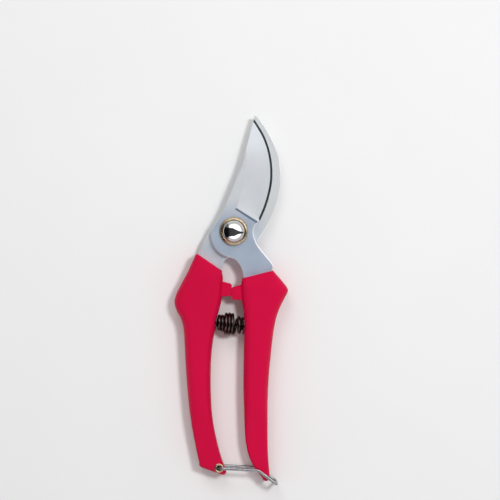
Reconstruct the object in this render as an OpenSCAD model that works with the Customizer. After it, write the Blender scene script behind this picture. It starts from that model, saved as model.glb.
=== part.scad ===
// Bypass pruning shears with plastic grips, a barrel spring and a wire latch.
// The pivot axis is Z, the tips point to +Y and the cutting blade faces +Z.
// z = 0 is the plane that the nut and both grips lie on.

/* [Plates] */
// Distance from the pivot to the tip of the hook
hook_reach = 57; // [52:0.5:62]
// Thickness of each steel plate
plate_t = 3; // [2.6:0.1:3.2]
// Running gap between the blade and the hook
plate_gap = 0.05; // [0.03:0.01:0.08]
// Thickness left at the cutting edge
edge_t = 0.3; // [0.2:0.1:0.6]
// Thickness of the blade where the narrow edge bevel begins
edge_land = 1.1; // [0.8:0.1:1.5]
// Width of the edge bevel
edge_w = 1.1; // [0.8:0.1:1.6]
// Length of the slope where the ground face runs out near the pivot
step_w = 1.2; // [0.6:0.1:1.6]
// Width of the tangs inside the grips
tang_w = 6; // [5:0.5:7]

/* [Pivot] */
// Diameter of the bolt
bolt_d = 6; // [5:0.5:6.5]
// Clearance around the bolt, on the radius
bolt_play = 0.05; // [0.03:0.01:0.08]
// Chamfer at the end of the bolt
bolt_chamfer = 0.6; // [0.3:0.1:0.9]
// Diameter of the domed head
head_d = 10.6; // [9.5:0.1:11.5]
// Height of the dome
dome_h = 2.3; // [1.8:0.1:2.9]
// Height of the head's straight rim
head_rim = 0.9; // [0.5:0.1:1.2]
// Outer diameter of the brass cup washer
cup_d = 14.2; // [13:0.1:15.5]
// Height of the cup washer's rim
cup_h = 1.5; // [1.2:0.1:2]
// Thickness of the cup washer's floor
cup_floor = 0.8; // [0.5:0.1:1]
// Outer diameter of the flat washer
washer_d = 12; // [11:0.5:14]
// Thickness of the flat washer
washer_t = 0.9; // [0.6:0.1:1.2]
// Outer diameter of the split lock washer
lock_d = 9.8; // [9:0.1:11]
// Thickness of the lock washer
lock_t = 1.2; // [0.8:0.1:1.6]
// Width of the lock washer's split
lock_split = 0.8; // [0.5:0.1:1.2]
// Nut, across flats
nut_af = 10; // [9:0.5:11]
// Thickness of the nut
nut_t = 2.6; // [2.2:0.1:3.2]

/* [Grips] */
// Distance from the pivot to the end of the longer grip
grip_reach = 123.5; // [116:0.5:130]
// Thickness of the grips in the palm
grip_t = 14; // [13.5:0.1:16]
// How far each face drops towards the thin ends of the grips
end_drop = 2.2; // [2.1:0.1:2.5]
// Radius of the long edges in the palm
edge_r = 4.5; // [3:0.5:6]
// Radius of the long edges at the ends
end_edge_r = 1.6; // [1:0.1:2]
// Radius of the moulded rim at the top of each grip
rim_r = 0.8; // [0.4:0.1:1.2]
// Height of the stop lugs
lug_h = 8; // [6:0.5:9]
// Gap between the closed stop lugs
lug_gap = 0.1; // [0.06:0.02:0.2]
// Radius that rounds the lower ends of the grips
end_round = 1.9; // [1.6:0.1:1.9]

/* [Return spring] */
// Diameter of the spring wire
spring_wire = 1.5; // [1.3:0.1:1.6]
// Outer diameter at the middle of the barrel
spring_mid_d = 11.4; // [10.5:0.1:12.5]
// Outer diameter of the end coils
spring_end_d = 8.4; // [7.8:0.1:9]
// Diameter of the flange that the spring bears on
seat_d = 8.6; // [8:0.1:9.2]
// Thickness of that flange
seat_t = 0.7; // [0.5:0.1:1]
// Depth that the flange is let into the grip
seat_sink = 0.4; // [0.2:0.1:0.6]
// Diameter of the shank pressed into the grip
shank_d = 3; // [2.5:0.1:3.5]
// Length of the shank
shank_len = 2.6; // [2:0.1:2.8]

/* [Latch] */
// Diameter of the latch wire
latch_wire_d = 1.5; // [1.2:0.1:1.6]
// Clearance of the wire in the eyelet, on the radius
latch_play = 0.05; // [0.03:0.01:0.08]
// Outer diameter of the eyelet's barrel
eyelet_d = 3; // [2.6:0.1:3.2]
// Outer diameter of the eyelet's flanges
eyelet_flange_d = 4.5; // [4.2:0.1:4.8]
// Thickness of the eyelet's flanges
eyelet_flange_t = 0.35; // [0.3:0.05:0.45]
// Clearance between the latch legs and the eyelet's flanges
leg_gap = 0.2; // [0.15:0.05:0.25]
// Depth of the latch pins inside the eyelet
latch_pin = 3.6; // [3:0.1:4.2]
// Inner bend radius of the latch wire
latch_bend_r = 1; // [0.6:0.1:1.4]
// Distance from the eyelet to the knee in each leg
knee_reach = 19.5; // [18:0.5:21]
// Distance from the eyelet to the closed end of the loop
loop_reach = 29.4; // [28.5:0.1:31]
// Angle of the straight part of the legs, with the latch let go
latch_angle = -3; // [-6:0.5:-2.5]
// Bend of the legs at the knee, as the angle between both reaches
knee_angle = 12.4; // [10:0.1:14]

/* [Hidden] */
$fn = 96;

chrome_colour = [0.72, 0.75, 0.79];
grip_colour = [0.78, 0.07, 0.24];
brass_colour = [0.72, 0.60, 0.40];
steel_colour = [0.56, 0.56, 0.57];
spring_colour = [0.20, 0.15, 0.14];

skin = 0.01;
cut = 0.5;
seat_fit = 0.2;
spring_gap = 0.1;
nose_len = 1;
cup_lip = 0.35;
cup_slope = 0.6;
head_play = 0.1;
mouth_depth = 1.2;
mouth_flare = 0.45;

// How finely the curves are drawn
spline_steps = 4;
runout_steps = 5;
rim_steps = 4;
corner_steps = 5;
arc_steps = 12;
coil_steps = 9;
coil_sides = 8;
bend_steps = 6;
wire_sides = 10;

// Heights of the pivot stack, from the nut up
lock_z = nut_t;
washer_z = lock_z + lock_t;
hook_z = washer_z + washer_t;
blade_z = hook_z + plate_t + plate_gap;
cup_z = blade_z + plate_t + plate_gap;
head_z = cup_z + cup_floor;
mid_z = grip_t / 2;

// Smooth curves through a few points, in any number of dimensions
function bend(a, b, c, d, t) =
    (2 * b + (c - a) * t + (2 * a - 5 * b + 4 * c - d) * t * t + (3 * b - a - 3 * c + d) * t * t * t) / 2;
function spline(p, steps = spline_steps) =
    let (last = len(p) - 1)
    [for (i = [0:last - 1]) for (k = [0:steps - 1])
        bend(p[max(i - 1, 0)], p[i], p[i + 1], p[min(i + 2, last)], k / steps), p[last]];

// The plates above the pivot follow hook_reach, and all below it follows grip_reach
tip = [10.2, 57];
grip_tip = [16, -123.5];
function above(points) = [for (p = points) [p.x, p.y > 0 ? p.y * hook_reach / tip.y : p.y]];
grip_top = -12;
function below(p) =
    let (stretch = (grip_reach + grip_top) / (grip_top - grip_tip.y))
    [p.x, p.y < grip_top ? grip_top + (p.y - grip_top) * stretch : p.y];

// Outline of the cutting blade, from its tip down the edge and back up the spine
blade_tip = [10, 55.6];
blade_edge = [blade_tip, [12.4, 52], [15.4, 46.6], [17.6, 40.4], [18.8, 34], [19.1, 28.5], [18.7, 23],
    [17.6, 17.8], [15.8, 11.9], [13.3, 6]];
blade_shoulder = [[13.3, 6], [12.2, 4.4], [10.6, 3], [9.8, 0.3], [10.2, -3.2], [12.3, -7.5],
    [16.7, -12.9], [18.9, -15.8], [19.5, -17.3], [19.1, -19], [18, -20.9]];
blade_heel = [[5.4, -24.8], [4.7, -22.6], [4.2, -19.6], [2.9, -16.7], [0.9, -14.2], [-1.8, -12.9],
    [-5, -11.9], [-7.7, -10.2], [-9.9, -7.6], [-11, -4.2], [-11.4, -1.4], [-11.2, 0.8]];
blade_spine = [[-11.2, 0.8], [-7.6, 6.2], [-4.6, 12.1], [-2.1, 18.1], [0.3, 24], [2.8, 30],
    [4.9, 36.2], [6.7, 42.6], [8.2, 49], blade_tip];

// Upper line of the ground face, from the step to the tip, one point for each point of the edge
ridge = [blade_tip - [9.9, 5.3], [2.1, 47.6], [4.7, 43.3], [6.3, 38.5], [6.1, 33.4], [5.5, 29.2], [4.9, 25.2],
    [4.2, 21.4], [3.2, 17.2], [1.9, 13.2]];
// The cut that grinds it runs on past the tip and down to the foot of the ground face
ridge_ends = [blade_tip - [10.7, 3.7], [1.2, 11.6]];
edge_ends = [blade_tip + [-0.8, 1.4], [13.6, 3.8]];

// Outline of the hook, from its tip down the outer edge and back up the inner edge
hook_outer = [[9.7, 56.4], tip, [11.6, 56.4], [14.6, 53], [18, 47.4], [20.6, 42], [22.3, 36.4], [23.1, 30],
    [23, 25.5], [22.3, 20], [20.9, 14], [18.7, 7.7], [15.7, 1.6], [12.4, -3.4]];
hook_heel = [[12.4, -3.4], [10.6, -7], [6.6, -11], [2, -12.6], [-2.4, -13], [-4.4, -14.6], [-5.4, -17.3],
    [-6.1, -19.3], [-7.2, -21.4]];
hook_back = [[-18.7, -13.8], [-17.6, -11.4], [-15, -5.2], [-12.6, -1.3], [-9.6, 3], [-6.2, 7]];
hook_inner = [[-6.2, 7], [-1, 9], [4.6, 11.2], [9.4, 15.4], [12.4, 21], [13.8, 27.4], [13.8, 34],
    [12.9, 41], [11.4, 48.6], [9.7, 56.4]];

// Centre lines of the tangs inside the grips
blade_tang = [[11.5, -14], [12.2, -22], [12.4, -32], [11.6, -45], [11, -62], [10.8, -90]];
hook_tang = [[-10, -8], [-13.6, -19], [-16.6, -32], [-17.4, -45], [-17.6, -62], [-16.9, -86]];

// The seats of the spring, on the inner edges of the grips
hook_seat_at = [-8.8, -45];
blade_seat_at = [5, -46.8];
hook_seat = below(hook_seat_at);
blade_seat = below(blade_seat_at);
spring_axis = blade_seat - hook_seat;
spring_span = norm(spring_axis);
spring_turn = atan2(spring_axis.y, spring_axis.x);

// Course of the spring at each half turn: the share of its length, and how far it swells from
// the end diameter to the middle one
spring_course = [[0, 0], [0.07, 0.02], [0.141, 0.06], [0.212, 0.25], [0.283, 0.9], [0.354, 1],
    [0.425, 1], [0.497, 1], [0.569, 1], [0.68, 0.6], [0.835, 0.25], [0.929, 0.08], [1, 0]];

// Sections of the grips from the top down: left end x, y, right end x, y, then the shares
// of the face drop and of the smaller edge radius
hook_sections = [
    [-18.4, -10.8, -5.5, -19.6, 0.3, 0.7], [-20.8, -15.6, -5.4, -22.8, 0.1, 0.4],
    [-23.4, -21.2, -5.5, -26.2, 0, 0.1], [-26.2, -26.2, -5.7, -30, 0, 0],
    [-28.6, -31.2, -6.1, -34, 0, 0], [-29.4, -35.2, -7, -38, 0, 0],
    [-28.3, -39.2, -8, -41.6, 0, 0], [-26.2, -43, hook_seat_at.x, hook_seat_at.y, 0, 0],
    [-25, -47.2, -9.4, -49.2, 0, 0], [-24.5, -53, -10.4, -54.6, 0, 0],
    [-24.1, -61, -11.2, -62, 0, 0], [-23.6, -70, -11.5, -71, 0, 0],
    [-22.9, -79, -11.4, -79.5, 0, 0], [-22, -87.6, -11, -88.4, 0.15, 0.2],
    [-20.8, -96, -10, -96.6, 0.8, 0.8], [-19.4, -103.4, -8.4, -104.2, 1, 1],
    [-18, -110.2, -6.3, -112, 1, 1], [-17.1, -114.2, -3.6, -119, 1, 1]];
blade_sections = [
    [3.8, -23.2, 19.7, -19.2, 0.3, 0.7], [3.6, -26, 23.3, -23.8, 0.1, 0.4],
    [3.5, -28.6, 26.4, -27.8, 0, 0.1], [3.5, -31, 26.7, -30, 0, 0],
    [3.8, -34.6, 24.6, -34, 0, 0], [4.5, -38.4, 22.4, -38.6, 0, 0],
    [4.9, -42.6, 20.9, -43.2, 0, 0], [blade_seat_at.x, blade_seat_at.y, 19.9, -48, 0, 0],
    [5, -52, 19.1, -53.6, 0, 0], [4.8, -61, 18.2, -62, 0, 0], [4.7, -70, 17.4, -70.4, 0, 0],
    [4.7, -79, 16.9, -79.4, 0, 0], [5, -88, 16.7, -88, 0.15, 0.2],
    [5.3, -96.4, 16.7, -96.4, 0.8, 0.8], [5.8, -103.4, 16.7, -103.6, 1, 1],
    [7.2, -110.4, 16.9, -110.6, 1, 1], [10.4, -117.2, 17.4, -117, 1, 1],
    [14, -121.6, 17.8, -121.2, 1, 1]];

// Outlines of the stop lugs, which meet on a line just left of the pivot axis
stop_x = -1;
hook_lug = [[-8, -24.4], [-5, -25], [-1.8, -25.8], [stop_x - lug_gap / 2, -26.5],
    [stop_x - lug_gap / 2, -31.5], [-1.6, -32], [-5, -32.1], [-8, -32.6]];
blade_lug = [[6, -34.8], [3.4, -33.8], [-0.5, -33.7], [stop_x + lug_gap / 2, -33.2],
    [stop_x + lug_gap / 2, -28], [-0.4, -27.4], [3, -26.6], [6, -26]];

// The eyelet and the latch loop
eyelet_place = [-7.3, -116.7];
eyelet_at = below(eyelet_place);
face_hi = grip_t - end_drop;
face_lo = end_drop;
leg_rise = eyelet_flange_t + leg_gap + latch_wire_d / 2;
function around(p, r, a) = [p.x + r * cos(a), p.y + r * sin(a)];
knee_at = around(eyelet_at, knee_reach, latch_angle);
loop_at = around(eyelet_at, loop_reach, latch_angle - knee_angle);

bore_d = bolt_d + 2 * bolt_play;
function side_point(line, i, offset) =
    let (d = line[min(i + 1, len(line) - 1)] - line[max(i - 1, 0)])
    line[i] + offset * [-d.y, d.x] / norm(d);
function arc(centre, r, from, to) =
    [for (k = [0:arc_steps]) around(centre, r, from + (to - from) * k / arc_steps)];

// A strip of even width along a line, with a round lower end
function tang_outline(centre) =
    let (line = spline([for (p = centre) below(p)]), last = len(line) - 1)
    concat([for (i = [last - 1:-1:0]) side_point(line, i, -tang_w / 2)],
        [for (i = [0:last - 1]) side_point(line, i, tang_w / 2)],
        arc(line[last], tang_w / 2, 0, -180));

module plate(outline, tang, z) {
    translate([0, 0, z]) linear_extrude(plate_t) difference() {
        union() {
            polygon(above(outline));
            polygon(tang_outline(tang));
        }
        circle(d = bore_d);
    }
}

// What the grinding takes off: a face from the ridge to the edge, a narrow bevel along the edge,
// and a slope at the foot
function ground_section(ridge_point, edge_point) =
    let (w = norm(edge_point - ridge_point),
        inward = (ridge_point - edge_point) / w,
        land = edge_point + inward * min(w / 2, edge_w),
        past = edge_point - inward,
        top = blade_z + plate_t)
    [[ridge_point.x, ridge_point.y, top], [land.x, land.y, blade_z + edge_land],
        [edge_point.x, edge_point.y, blade_z + edge_t], [past.x, past.y, blade_z + edge_t],
        [past.x, past.y, top + cut], [ridge_point.x, ridge_point.y, top + cut]];
module grinding() {
    inner = above(concat([ridge_ends[0]], spline(ridge), [ridge_ends[1]]));
    outer = above(concat([edge_ends[0]], spline(blade_edge), [edge_ends[1]]));
    foot = edge_ends[1] - ridge_ends[1];
    slope = step_w / norm(foot) * [foot.y, -foot.x];
    sections = [for (i = [0:len(inner) - 1]) ground_section(inner[i], outer[i])];
    runout = [for (k = [1:runout_steps]) let (share = k / runout_steps)
        [for (p = sections[len(inner) - 1])
            [p.x + slope.x * share, p.y + slope.y * share,
                p.z + max(0, blade_z + plate_t - p.z) * share]]];
    loft(concat(sections, runout));
}

module blade_blank() {
    plate(concat(spline(blade_edge), spline(blade_shoulder), spline(blade_heel), spline(blade_spine)),
        blade_tang, blade_z);
}

module hook_blank() {
    plate(concat(spline(hook_outer), spline(hook_heel), spline(hook_back), spline(hook_inner)),
        hook_tang, hook_z);
}

module cutting_blade() {
    color(chrome_colour) difference() {
        blade_blank();
        grinding();
    }
}

module hook_blade() {
    color(chrome_colour) hook_blank();
}

// A ring on the pivot axis
module ring(outer_d, inner_d, z, height) {
    translate([0, 0, z]) difference() {
        cylinder(d = outer_d, h = height);
        translate([0, 0, -cut]) cylinder(d = inner_d, h = height + 2 * cut);
    }
}

// A bolt with a low dome, cut off flush with the nut
module pivot_bolt() {
    dome_r = (head_d * head_d / 4 + dome_h * dome_h) / (2 * dome_h);
    dome_span = asin(head_d / 2 / dome_r);
    dome_mid = [0, head_z + head_rim + dome_h - dome_r];
    color(steel_colour) rotate_extrude() polygon(concat(
        [[0, 0], [bolt_d / 2 - bolt_chamfer, 0], [bolt_d / 2, bolt_chamfer], [bolt_d / 2, head_z],
            [head_d / 2, head_z]],
        arc(dome_mid, dome_r, 90 - dome_span, 90)));
}

// The dished washer that the head sits in
module cup_washer() {
    inner = head_d / 2 + head_play;
    color(brass_colour) translate([0, 0, cup_z]) rotate_extrude() polygon([
        [bore_d / 2, 0], [cup_d / 2, 0], [cup_d / 2, cup_lip], [cup_d / 2 - cup_slope, cup_h * 3 / 4],
        [inner + cup_slope, cup_h], [inner, cup_h - head_play], [inner, cup_floor],
        [bore_d / 2, cup_floor]]);
}

module flat_washer() {
    color(steel_colour) ring(washer_d, bore_d, washer_z, washer_t);
}

module lock_washer() {
    color(steel_colour) difference() {
        ring(lock_d, bore_d, lock_z, lock_t);
        translate([bolt_d / 4, -lock_split / 2, lock_z - cut]) cube([lock_d, lock_split, lock_t + 2 * cut]);
    }
}

module pivot_nut() {
    corner_d = nut_af / cos(30);
    color(steel_colour) difference() {
        intersection() {
            cylinder(d = corner_d, h = nut_t, $fn = 6);
            cylinder(d1 = nut_af, d2 = nut_af + 2 * nut_t, h = nut_t);
            cylinder(d1 = nut_af + 2 * nut_t, d2 = nut_af, h = nut_t);
        }
        translate([0, 0, -cut]) cylinder(d = bore_d, h = nut_t + 2 * cut);
    }
}

// A grip section with its real drop and edge radius, on a grip of the real length
function sized(s) =
    let (l = below([s[0], s[1]]), r = below([s[2], s[3]]))
    [l.x, l.y, r.x, r.y, s[4] * end_drop, edge_r + s[5] * (end_edge_r - edge_r)];

// A section moved up along the grip and drawn in all round, for the rounded rims
function drawn_in(s, up, inset) =
    let (span = [s[2] - s[0], s[3] - s[1]], u = span / norm(span), n = [-u.y, u.x] * up)
    [s[0] + n.x + u.x * inset, s[1] + n.y + u.y * inset,
        s[2] + n.x - u.x * inset, s[3] + n.y - u.y * inset, s[4] + inset, s[5]];

// All sections of a grip, with a small rim at its top and a round lower end
function grip_loft(table) =
    let (given = [for (s = table) sized(s)],
        count = len(given),
        top = given[0],
        end = given[count - 1],
        body = concat([drawn_in(top, -rim_r, 0)], [for (i = [1:count - 1]) given[i]]))
    concat(
        [for (k = [0:rim_steps - 1])
            let (a = 90 - 90 * k / rim_steps) drawn_in(top, -rim_r * (1 - sin(a)), rim_r * (1 - cos(a)))],
        spline(body),
        [for (k = [1:rim_steps])
            let (a = 90 * k / rim_steps)
            drawn_in(end, -end_round * sin(a), (end_round - skin) * (1 - cos(a)))]);

// One section as a loop of points: a rounded bar that stands on its face drop
function loop_of(s) =
    let (mid = [s[0] + s[2], s[1] + s[3]] / 2,
        span = [s[2] - s[0], s[3] - s[1]],
        w = norm(span) / 2,
        t = mid_z - s[4],
        r = min(s[5], t - skin, w - skin))
    [for (q = [0:3]) for (k = [0:corner_steps])
        let (a = q * 90 + 90 * k / corner_steps,
            across = (q == 0 || q == 3 ? w - r : r - w) + r * cos(a),
            up = (q < 2 ? t - r : r - t) + r * sin(a),
            p = mid + span / (2 * w) * across)
        [p.x, p.y, mid_z + up]];

// A closed skin over loops that all have the same number of points
module loft(loops) {
    n = len(loops[0]);
    last = len(loops) - 1;
    polyhedron([for (l = loops) each l], concat(
        [[for (j = [0:n - 1]) j]],
        [for (i = [0:last - 1]) for (j = [0:n - 1]) let (k = (j + 1) % n) each [
            [i * n + j, (i + 1) * n + j, (i + 1) * n + k],
            [i * n + j, (i + 1) * n + k, i * n + k]]],
        [[for (j = [n - 1:-1:0]) last * n + j]]));
}

module lug(outline) {
    translate([0, 0, mid_z - lug_h / 2]) linear_extrude(lug_h) polygon([for (p = outline) below(p)]);
}

// The shape along a spring seat's axis, which points from the grip into the spring
module on_seat(at, turn) {
    translate([at.x, at.y, mid_z]) rotate(turn) rotate([0, 90, 0]) children();
}

module seat_pocket(at, turn) {
    on_seat(at, turn) {
        translate([0, 0, -shank_len]) cylinder(d = shank_d, h = shank_len);
        translate([0, 0, -seat_sink]) cylinder(d = seat_d + 2 * seat_fit, h = seat_sink + edge_r);
    }
}

module hook_grip() {
    color(grip_colour) difference() {
        union() {
            loft([for (s = grip_loft(hook_sections)) loop_of(s)]);
            lug(hook_lug);
        }
        hook_blank();
        seat_pocket(hook_seat, spring_turn);
        translate([eyelet_at.x, eyelet_at.y, -cut]) cylinder(d = eyelet_d, h = grip_t + 2 * cut);
    }
}

module blade_grip() {
    color(grip_colour) difference() {
        union() {
            loft([for (s = grip_loft(blade_sections)) loop_of(s)]);
            lug(blade_lug);
        }
        blade_blank();
        seat_pocket(blade_seat, spring_turn + 180);
    }
}

// A stud with a flange for the spring and a round nose inside its end coil
module spring_seat(at, turn) {
    nose_d = spring_end_d - 2 * spring_wire - 2 * seat_fit;
    color(steel_colour) on_seat(at, turn) {
        translate([0, 0, -shank_len]) cylinder(d = shank_d, h = shank_len);
        translate([0, 0, -seat_sink]) cylinder(d = seat_d, h = seat_t);
        translate([0, 0, -seat_sink]) cylinder(d = nose_d, h = seat_t + nose_len);
        translate([0, 0, seat_t - seat_sink + nose_len])
            cylinder(d1 = nose_d, d2 = nose_d / 2, h = nose_d / 4);
    }
}

module hook_spring_seat() {
    spring_seat(hook_seat, spring_turn);
}

module blade_spring_seat() {
    spring_seat(blade_seat, spring_turn + 180);
}

// The barrel spring, six turns nearly closed up, with one wider gap
module return_spring() {
    free = spring_span - 2 * (seat_t - seat_sink + spring_gap);
    wire_r = spring_wire / 2;
    course = spline(spring_course, coil_steps);
    function helix(turn, share, swell) =
        let (a = -360 * turn,
            r = (spring_end_d + (spring_mid_d - spring_end_d) * swell) / 2 - wire_r,
            x = wire_r + (free - spring_wire) * share)
        [for (j = [0:coil_sides - 1])
            let (b = 360 * j / coil_sides, out = r + wire_r * cos(b))
            [x + wire_r * sin(b), out * cos(a), out * sin(a)]];
    color(spring_colour) translate([hook_seat.x, hook_seat.y, mid_z]) rotate(spring_turn)
        translate([seat_t - seat_sink + spring_gap, 0, 0])
            loft([for (i = [0:len(course) - 1])
                helix(i / coil_steps / 2, course[i][0], course[i][1])]);
}

// A hollow rivet through the grip's thin end, flared at both mouths
module latch_eyelet() {
    barrel = eyelet_d / 2;
    flange = eyelet_flange_d / 2;
    bore = latch_wire_d / 2 + latch_play;
    mouth = bore + mouth_flare;
    low = face_lo - eyelet_flange_t;
    high = face_hi + eyelet_flange_t;
    color(brass_colour) translate([eyelet_at.x, eyelet_at.y, 0]) rotate_extrude() polygon([
        [bore, low + mouth_depth], [mouth, low], [flange, low], [flange, face_lo], [barrel, face_lo],
        [barrel, face_hi], [flange, face_hi], [flange, high], [mouth, high], [bore, high - mouth_depth]]);
}

// Points along a route whose corners are rounded
function rounded(route, r) =
    let (last = len(route) - 1)
    concat([route[0]], [for (i = [1:last - 1])
        let (c = route[i],
            a = (route[i - 1] - c) / norm(route[i - 1] - c),
            b = (route[i + 1] - c) / norm(route[i + 1] - c),
            reach = r / tan(acos(a * b) / 2),
            from = c + a * reach,
            to = c + b * reach)
        for (k = [0:bend_steps])
            let (t = k / bend_steps) (1 - t) * (1 - t) * from + 2 * t * (1 - t) * c + t * t * to],
        [route[last]]);

// A round wire along a path, whose sections stay square to it; side points across the path
function wire_loops(path, r, side) =
    let (last = len(path) - 1)
    [for (i = [0:last])
        let (d = path[min(i + 1, last)] - path[max(i - 1, 0)],
            along = d / norm(d),
            flat = cross([0, 0, 1], along),
            n = norm(flat) < 0.02 ? side : flat / norm(flat) * (flat * side < 0 ? -1 : 1),
            m = cross(along, n))
        [for (j = [0:wire_sides - 1])
            let (a = -360 * j / wire_sides) path[i] + r * (cos(a) * n + sin(a) * m)]];

module latch_wire() {
    front = face_hi + leg_rise;
    back = face_lo - leg_rise;
    route = [
        [eyelet_at.x, eyelet_at.y, face_hi - latch_pin], [eyelet_at.x, eyelet_at.y, front],
        [knee_at.x, knee_at.y, front], [loop_at.x, loop_at.y, front],
        [loop_at.x, loop_at.y, back], [knee_at.x, knee_at.y, back],
        [eyelet_at.x, eyelet_at.y, back], [eyelet_at.x, eyelet_at.y, face_lo + latch_pin]];
    color(steel_colour) loft(wire_loops(rounded(route, latch_bend_r + latch_wire_d / 2), latch_wire_d / 2,
        [-sin(latch_angle), cos(latch_angle), 0]));
}

cutting_blade();
hook_blade();
pivot_bolt();
cup_washer();
flat_washer();
lock_washer();
pivot_nut();
blade_grip();
hook_grip();
blade_spring_seat();
hook_spring_seat();
return_spring();
latch_eyelet();
latch_wire();
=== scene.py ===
"""Bypass pruning shears: chrome plates, crimson plastic grips, a barrel spring and a wire latch.

The pivot axis is Z, the tips point to +Y and the cutting blade faces +Z. Sizes are in millimetres
until a mesh is made, and the meshes are in metres.
"""

import logging
import math
from collections.abc import Callable, Iterable, Sequence
from dataclasses import dataclass
from enum import Enum, IntEnum

import bmesh
import bpy
from mathutils import Matrix, Vector
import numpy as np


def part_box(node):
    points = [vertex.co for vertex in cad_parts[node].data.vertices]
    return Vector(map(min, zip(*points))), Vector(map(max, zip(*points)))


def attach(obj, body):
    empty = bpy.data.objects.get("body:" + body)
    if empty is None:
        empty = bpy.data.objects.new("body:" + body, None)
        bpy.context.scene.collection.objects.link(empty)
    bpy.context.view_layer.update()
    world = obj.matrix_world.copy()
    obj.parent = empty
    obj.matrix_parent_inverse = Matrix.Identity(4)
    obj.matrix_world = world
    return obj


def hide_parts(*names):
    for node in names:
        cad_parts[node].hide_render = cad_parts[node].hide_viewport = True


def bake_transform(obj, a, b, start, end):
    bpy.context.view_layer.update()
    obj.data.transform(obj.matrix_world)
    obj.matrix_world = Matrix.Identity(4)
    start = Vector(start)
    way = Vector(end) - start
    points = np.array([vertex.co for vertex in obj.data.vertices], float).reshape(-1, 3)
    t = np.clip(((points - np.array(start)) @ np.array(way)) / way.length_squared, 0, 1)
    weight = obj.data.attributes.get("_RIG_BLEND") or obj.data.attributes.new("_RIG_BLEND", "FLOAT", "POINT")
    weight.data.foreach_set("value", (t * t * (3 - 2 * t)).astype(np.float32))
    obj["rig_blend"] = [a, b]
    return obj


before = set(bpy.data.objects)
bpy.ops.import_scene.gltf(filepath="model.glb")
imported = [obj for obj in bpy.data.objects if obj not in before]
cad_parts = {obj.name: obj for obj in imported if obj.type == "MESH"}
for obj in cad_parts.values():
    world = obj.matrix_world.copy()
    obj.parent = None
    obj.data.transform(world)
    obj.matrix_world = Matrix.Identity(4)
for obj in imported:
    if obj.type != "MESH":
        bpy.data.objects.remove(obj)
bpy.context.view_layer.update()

LOG = logging.getLogger("shears")
MM = 0.001
# points closer than this are merged, in metres
DOUBLES = 1e-6
CAD_DOUBLES = 2e-6
# faces of the CAD that differ by less than this, in degrees, are one flat face
FLAT_WITHIN = 0.05
# how strongly large faces hold the normals at their edges
FACE_WEIGHT = 60
# the largest folds shaded smooth, in degrees: on most turned or bent pieces, and on plates and bolt
ROUND_FOLD = 50
CRISP_FOLD = 40
# how many points go round the parts that show most
FINE_RING = 128

Thing = bpy.types.Object
Socket = bpy.types.NodeSocket
EditMesh = bmesh.types.BMesh
Edge = bmesh.types.BMEdge
Colour = tuple[float, float, float]
Point = tuple[float, float]
Row = tuple[float, ...]


class Body(Enum):
    """The three parts that move against each other."""

    HOOK_SIDE = "hook_side"
    BLADE_SIDE = "blade_side"
    LATCH = "latch"


class Slot(Enum):
    """The material slots of the record."""

    HARD_CHROME = "hard_chrome_plate"
    BRIGHT_CHROME = "bright_chrome"
    BRASS = "brass"
    ZINC = "zinc_steel"
    PLASTIC = "crimson_plastic"
    SPRING = "dark_spring_steel"
    WIRE = "bright_wire"


# --- Bench work: selecting, extruding and finishing ---


def deselect_all() -> None:
    """Leaves object mode with nothing selected."""
    if bpy.context.object and bpy.context.object.mode != "OBJECT":
        bpy.ops.object.mode_set(mode="OBJECT")
    bpy.ops.object.select_all(action="DESELECT")


def take(piece: Thing) -> None:
    """Makes one piece the only selected and the active one.

    Args:
        piece: The piece to work on.
    """
    deselect_all()
    piece.select_set(True)
    bpy.context.view_layer.objects.active = piece


def edit(piece: Thing) -> EditMesh:
    """Opens a piece in edit mode.

    Args:
        piece: The piece to work on.

    Returns:
        The mesh as edit mode holds it.
    """
    take(piece)
    bpy.ops.object.mode_set(mode="EDIT")
    return bmesh.from_edit_mesh(piece.data)


def leave() -> None:
    """Goes back to object mode."""
    bpy.ops.object.mode_set(mode="OBJECT")


def pick_edges(mesh: EditMesh, wanted: Callable[[Edge], bool]) -> int:
    """Selects the edges that pass a test, and nothing else.

    Args:
        mesh: The mesh in edit mode.
        wanted: The test for one edge.

    Returns:
        How many edges were selected.
    """
    bpy.ops.mesh.select_all(action="DESELECT")
    bpy.ops.mesh.select_mode(type="EDGE")
    found = 0
    for edge in mesh.edges:
        if wanted(edge):
            edge.select_set(True)
            found += 1
    return found


def face_outwards() -> None:
    """Merges doubles and turns all normals out, in edit mode."""
    bpy.ops.mesh.select_all(action="SELECT")
    bpy.ops.mesh.remove_doubles(threshold=DOUBLES)
    bpy.ops.mesh.normals_make_consistent(inside=False)


def fold_angle(edge: Edge) -> float:
    """The angle in degrees between the two faces of an edge, or 0 where there aren't two."""
    return math.degrees(edge.calc_face_angle(0.0))


def apply_modifier(piece: Thing, kind: str, **settings: object) -> None:
    """Adds a modifier and applies it.

    Args:
        piece: The piece to change.
        kind: The modifier's type.
        settings: The modifier's properties.
    """
    take(piece)
    modifier = piece.modifiers.new(kind.title(), kind)
    for name, value in settings.items():
        setattr(modifier, name, value)
    bpy.ops.object.modifier_apply(modifier=modifier.name)


def round_edges(piece: Thing, width: float, segments: int, fold: float) -> None:
    """Bevels the edges of a piece that fold sharply enough.

    Args:
        piece: The piece to change.
        width: The bevel's width in millimetres.
        segments: How many faces it has across.
        fold: The smallest fold that is bevelled, in degrees.
    """
    apply_modifier(
        piece, "BEVEL", width=width * MM, segments=segments, limit_method="ANGLE",
        angle_limit=math.radians(fold),
    )


def join_solid(piece: Thing, other: Thing, operation: str) -> None:
    """Adds or cuts another solid, which is then deleted, before the piece is dressed.

    Args:
        piece: The piece that stays.
        other: The solid that is added or cut away.
        operation: UNION, DIFFERENCE or INTERSECT.
    """
    apply_modifier(piece, "BOOLEAN", object=other, operation=operation, solver="MANIFOLD")
    # the solver adds an empty material slot, which would stay in front of the finish
    piece.data.materials.clear()
    bpy.data.objects.remove(other, do_unlink=True)


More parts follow.
